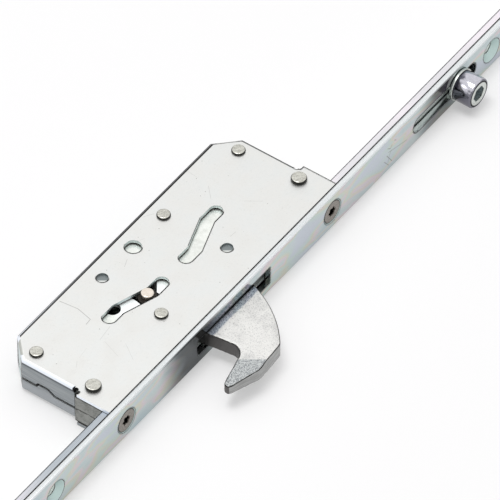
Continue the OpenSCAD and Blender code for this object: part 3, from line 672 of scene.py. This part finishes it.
rivets = {
    "edge": 0.2, "skin": 0.13, "calm": 1, "dents": [(2.2, 0.07), (0.7, 0.02)],
    "speck": ((0.5, 0.5, 0.5), 3.0, 0.65), "streak": ((2.5, 0.35, 2.5), 2.0, 0.6, (0, 0, 40)),
    "depth": 0.02, "gloss": (0.3, 0.46),
    "tone": (0.65, 0.645, 0.59), "dull": (0.4, 0.395, 0.355), "dullSpan": (0.16, 0.36),
    "side": (0.03, 0.03, 0.028), "topTurn": (0.7, 0.92),
}


def rivetSteel(s):
    material, tree, shader = newFinish("rivetSteel")
    where = place(tree)
    upright = absolute(tree, facing(tree)[2])
    speck = grain(tree, where, *s["speck"])
    streak = grain(tree, where, *s["streak"])
    top = blend(tree, remap(tree, times(tree, speck, streak), *s["dullSpan"]), s["tone"], s["dull"])
    # Painted shade: near black on the sides, with the pale tone only where the head faces up
    colour = blend(tree, remap(tree, upright, *s["topTurn"]), s["side"], top)
    bareMetal(tree, shader, colour, speck, s)
    return material


rivetFinish = rivetSteel(rivets)
for name in ("end_block_rivets", "corner_rivets", "guide_rivet", "hook_pivot_rivet"):
    roughen(name, rivets)
    dress(name, rivetFinish)
print("rivets dressed")


# Drive rail: pale zinc strip with a pinkish cast, greyer towards its lower end, greenish on its broad
# faces, with a wedge of painted shade behind the roller and painted shade lines along its top's rear edge

rail = {
    "edge": 0.08, "cloud": ((38, 8, 8), 2.0, 0.5), "streak": ((30, 0.3, 0.3), 3.0, 0.6), "depth": 0.004,
    "gloss": (0.26, 0.38), "broadGloss": 0.6, "broadMetal": 0.45,
    "tone": (0.9, 0.85, 0.9), "dull": (0.78, 0.77, 0.8), "dullSpan": (0.45, 0.7),
    "end": (0.46, 0.5, 0.54), "endRise": (-30, -65), "endFall": (-125, -90, 0.3, 1.0),
    "inside": (0.86, 0.93, 0.9), "insideZ": (5.6, 5.2), "narrowTurn": (0.3, 0.7),
    "broad": (0.86, 0.93, 0.88), "broadSpan": (0.35, 0.7, 0.0, 0.5),
    "paintedShade": (0.03, 0.035, 0.035), "shadeSlope": 0.2, "shadeFrom": (25.0, 25.6),
    "shadeFront": (-0.6, -0.8),
    "line": (0.015, 0.015, 0.015), "lineReach": 0.75, "lineTurn": (0.08, 0.18), "lineTop": (0.3, 0.6),
}


def railZinc(s):
    material, tree, shader = newFinish("railZinc")
    where = place(tree)
    x, y, z = parts(tree, where)
    ny, nz = facing(tree)[1:]
    cloud = grain(tree, where, *s["cloud"])
    streak = grain(tree, where, *s["streak"])
    inside = remap(tree, absolute(tree, z), *s["insideZ"])
    narrow = times(tree, remap(tree, absolute(tree, nz), *s["narrowTurn"]), inverse(tree, inside))

    top = blend(tree, remap(tree, cloud, *s["dullSpan"]), s["tone"], s["dull"])
    top = blend(tree, within(tree, x, s["endRise"], s["endFall"]), top, s["end"])
    top = blend(tree, inside, top, s["inside"])
    broad = blend(tree, remap(tree, streak, *s["broadSpan"]), s["broad"], s["dull"])
    # Painted shade, near black, on the front face behind the roller, where the faceplate's slot shades it
    wedge = remap(tree, calc(tree, "MULTIPLY_ADD", x, s["shadeSlope"], z), *s["shadeFrom"])
    broad = blend(tree, times(tree, wedge, remap(tree, ny, *s["shadeFront"])), broad, s["paintedShade"])
    colour = blend(tree, narrow, broad, top)
    # A painted shade line, near black, along the top where its edges roll over towards the rear
    rolled = remap(tree, rolledOff(tree, s["lineReach"])[1], *s["lineTurn"])
    colour = blend(tree, times(tree, rolled, remap(tree, nz, *s["lineTop"])), colour, s["line"])

    gloss = remap(tree, streak, *noiseSpan, *s["gloss"])
    plug(tree, shader, Base_Color=colour, Metallic=remap(tree, narrow, 0.0, 1.0, s["broadMetal"], 1.0),
         Roughness=level(tree, narrow, s["broadGloss"], gloss), Normal=relief(tree, streak, s["depth"]))
    return material


soften("drive_rail", rail["edge"])
dress("drive_rail", railZinc(rail))


# Case screws: stainless, with painted shade: a dark ring round the head and a black recess

screws = {
    "edge": 0.08, "speck": ((0.4, 0.4, 0.4), 3.0, 0.65), "turned": ((0.18, 1, 1), 2.0, 0.5), "depth": 0.01,
    "gloss": (0.26, 0.4),
    "tone": (0.34, 0.31, 0.28), "dull": (0.17, 0.155, 0.14), "dullSpan": (0.15, 0.35),
    "dark": (0.006, 0.006, 0.006), "ringFrom": 0.6, "ringFull": 0.1, "recess": (0.35, 0.85),
}


def screwSteel(s):
    material, tree, shader = newFinish("screwSteel")
    where = place(tree)
    low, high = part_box("case_screws")
    radius = (high.z - low.z) / 2
    centres = [(x / mm, 0, (low.z + radius) / mm) for x in (low.x + radius, high.x - radius)]
    off = nearest(tree, where, centres, (1, 0, 1))
    speck = grain(tree, where, *s["speck"])
    turned = turnedLines(tree, off, *s["turned"])
    top = blend(tree, remap(tree, times(tree, speck, turned), *s["dullSpan"]), s["dull"], s["tone"])
    # Painted shade: dark round the rim of the head and black down in the recess
    ring = remap(tree, off, radius / mm - s["ringFrom"], radius / mm - s["ringFull"])
    recess = remap(tree, parts(tree, where)[1], *s["recess"])
    plug(tree, shader, Base_Color=blend(tree, largest(tree, ring, recess), top, s["dark"]), Metallic=1.0,
         Roughness=remap(tree, speck, *noiseSpan, *s["gloss"]), Normal=relief(tree, turned, s["depth"]))
    return material


soften("case_screws", screws["edge"])
dress("case_screws", screwSteel(screws))
print("rail and screws dressed")


# Roller: chromed sleeve, with a painted dark reflection low down and at the end that faces the plate, on a
# duller turned stud with a grey socket

rollerAxis = (134.7, 0, 0)
sleeve = {
    "edge": 0.12, "cloud": ((2.2, 3, 2.2), 3.0, 0.6), "speck": ((0.6, 0.6, 0.6), 3.0, 0.65),
    "depth": 0.001, "gloss": (0.05, 0.12),
    "chrome": (0.64, 0.64, 0.7), "hazed": (0.55, 0.545, 0.6),
    "darkReflection": (0.09, 0.09, 0.115), "plateEndReflection": (-3.2, -1.6), "plateEndDrift": 5.0,
    "under": (0.7, 0.45, 0.0, 0.85), "lowReflectionDrift": 1.2,
    "bore": (5.15, 5.0), "dark": (0.03, 0.03, 0.032),
}
stud = {
    "edge": 0.12, "speck": ((0.4, 0.4, 0.4), 3.0, 0.65), "turned": ((0.2, 1, 1), 2.0, 0.5), "depth": 0.008,
    "gloss": (0.22, 0.36),
    "tone": (0.7, 0.73, 0.7), "dull": (0.5, 0.53, 0.5), "dullSpan": (0.35, 0.7),
    "socket": (0.42, 0.48, 0.49), "socketMetal": 0.5, "socketDeep": (-8.1, -7.8), "socketReach": (3.2, 3.1),
    "dark": (0.03, 0.03, 0.032), "ringReach": (4.4, 4.55), "ringDeep": (-7.6, -7.7),
}


def rollerChrome(s):
    material, tree, shader = newFinish("rollerChrome")
    where = place(tree)
    cloud = grain(tree, where, *s["cloud"])
    speck = grain(tree, where, *s["speck"])
    colour = blend(tree, remap(tree, speck, *noiseSpan), s["chrome"], s["hazed"])
    # Painted dark reflection on the lower side and towards the end that faces the plate
    low = remap(tree, drift(tree, facing(tree)[2], cloud, s["lowReflectionDrift"]), *s["under"])
    near = remap(tree, drift(tree, parts(tree, where)[1], cloud, s["plateEndDrift"]), *s["plateEndReflection"])
    colour = blend(tree, largest(tree, low, near), colour, s["darkReflection"])
    bore = remap(tree, awayFrom(tree, where, rollerAxis, (1, 0, 1)), *s["bore"])
    bareMetal(tree, shader, blend(tree, bore, colour, s["dark"]), speck, s)
    return material


def studSteel(s):
    material, tree, shader = newFinish("studSteel")
    where = place(tree)
    y = parts(tree, where)[1]
    off = awayFrom(tree, where, rollerAxis, (1, 0, 1))
    speck = grain(tree, where, *s["speck"])
    colour = blend(tree, remap(tree, speck, *s["dullSpan"]), s["tone"], s["dull"])
    floor = times(tree, remap(tree, y, *s["socketDeep"]), remap(tree, off, *s["socketReach"]))
    colour = blend(tree, floor, colour, s["socket"])
    ring = times(tree, remap(tree, off, *s["ringReach"]), remap(tree, y, *s["ringDeep"]))
    plug(tree, shader, Base_Color=blend(tree, ring, colour, s["dark"]),
         Metallic=remap(tree, floor, 0.0, 1.0, 1.0, s["socketMetal"]),
         Roughness=remap(tree, speck, *noiseSpan, *s["gloss"]),
         Normal=relief(tree, turnedLines(tree, off, *s["turned"]), s["depth"]))
    return material


soften("roller_sleeve", sleeve["edge"])
dress("roller_sleeve", rollerChrome(sleeve))
soften("roller_stud", stud["edge"])
dress("roller_stud", studSteel(stud))
print("roller dressed")


# Slider plates: zinc sheet, with painted light, a paler and rougher patch, round the drive pin

sliders = {
    "edge": 0.1, "cloud": ((2.4, 2.4, 2.4), 3.0, 0.6), "speck": ((0.6, 0.6, 0.6), 3.0, 0.65), "depth": 0.01,
    "gloss": (0.26, 0.4), "litPlaceGloss": 0.5,
    "tone": (0.9, 0.92, 0.88), "dull": (0.76, 0.78, 0.74), "dullSpan": (0.35, 0.7),
    "paintedLight": (0.95, 0.97, 0.97), "litPlace": (-17, 23, 0), "litPlaceReach": (13.0, 9.1),
}


def sliderZinc(s):
    material, tree, shader = newFinish("sliderZinc")
    where = place(tree)
    cloud = grain(tree, where, *s["cloud"])
    speck = grain(tree, where, *s["speck"])
    # Painted light: a paler, rougher patch round the drive pin
    paintedLight = remap(tree, awayFrom(tree, where, s["litPlace"], (1, 1, 0)), *s["litPlaceReach"])
    colour = blend(tree, remap(tree, cloud, *s["dullSpan"]), s["tone"], s["dull"])
    gloss = remap(tree, speck, *noiseSpan, *s["gloss"])
    plug(tree, shader, Base_Color=blend(tree, paintedLight, colour, s["paintedLight"]), Metallic=1.0,
         Roughness=level(tree, paintedLight, gloss, s["litPlaceGloss"]), Normal=relief(tree, speck, s["depth"]))
    return material


sliderFinish = sliderZinc(sliders)
for name in ("upper_slider_plate", "lower_slider_plate"):
    soften(name, sliders["edge"])
    dress(name, sliderFinish)
print("sliders dressed")


# Everything turned, stamped or drawn inside the case: one recipe, with its own tone, grain and gloss for
# each steel, and the width of every piece's rounded edges

plainSteels = {
    "innerSteel": {
        "tone": (0.5, 0.5, 0.5), "dull": (0.35, 0.35, 0.35),
        "size": 0.5, "gloss": (0.3, 0.45), "depth": 0.01,
        "edges": {"corner_spacers": 0.1, "guide_spacer": 0.1, "hook_pivot_sleeve": 0.1, "hook_washers": 0.1,
                  "driver_block": 0.1, "driver_rivets": 0.05},
    },
    "pinSteel": {
        "tone": (0.84, 0.77, 0.69), "dull": (0.6, 0.53, 0.46),
        "size": 0.4, "gloss": (0.3, 0.45), "depth": 0.02,
        "edges": {"drive_pin": 0.12},
    },
    "darkSteel": {
        "tone": (0.05, 0.045, 0.04), "dull": (0.03, 0.028, 0.026),
        "size": 0.5, "gloss": (0.35, 0.5), "depth": 0.01,
        "edges": {"pin_collars": 0.1},
    },
}
plainGrain = {
    "cloudTimes": 4, "cloud": (3.0, 0.6), "speck": (3.0, 0.65),
    "dullSpan": noiseSpan, "dullSpeck": (0.35, 0.75, 0.25, 1.0),
}


def plainMetal(name, s):
    material, tree, shader = newFinish(name)
    where = place(tree)
    cloud = grain(tree, where, (s["size"] * plainGrain["cloudTimes"],) * 3, *plainGrain["cloud"])
    speck = grain(tree, where, (s["size"],) * 3, *plainGrain["speck"])
    colour = blend(tree, mottle(tree, cloud, speck, plainGrain), s["tone"], s["dull"])
    bareMetal(tree, shader, colour, speck, s)
    return material


for steel, settings in plainSteels.items():
    finish = plainMetal(steel, settings)
    for name, edge in settings["edges"].items():
        soften(name, edge)
        dress(name, finish)
print("other nodes dressed")
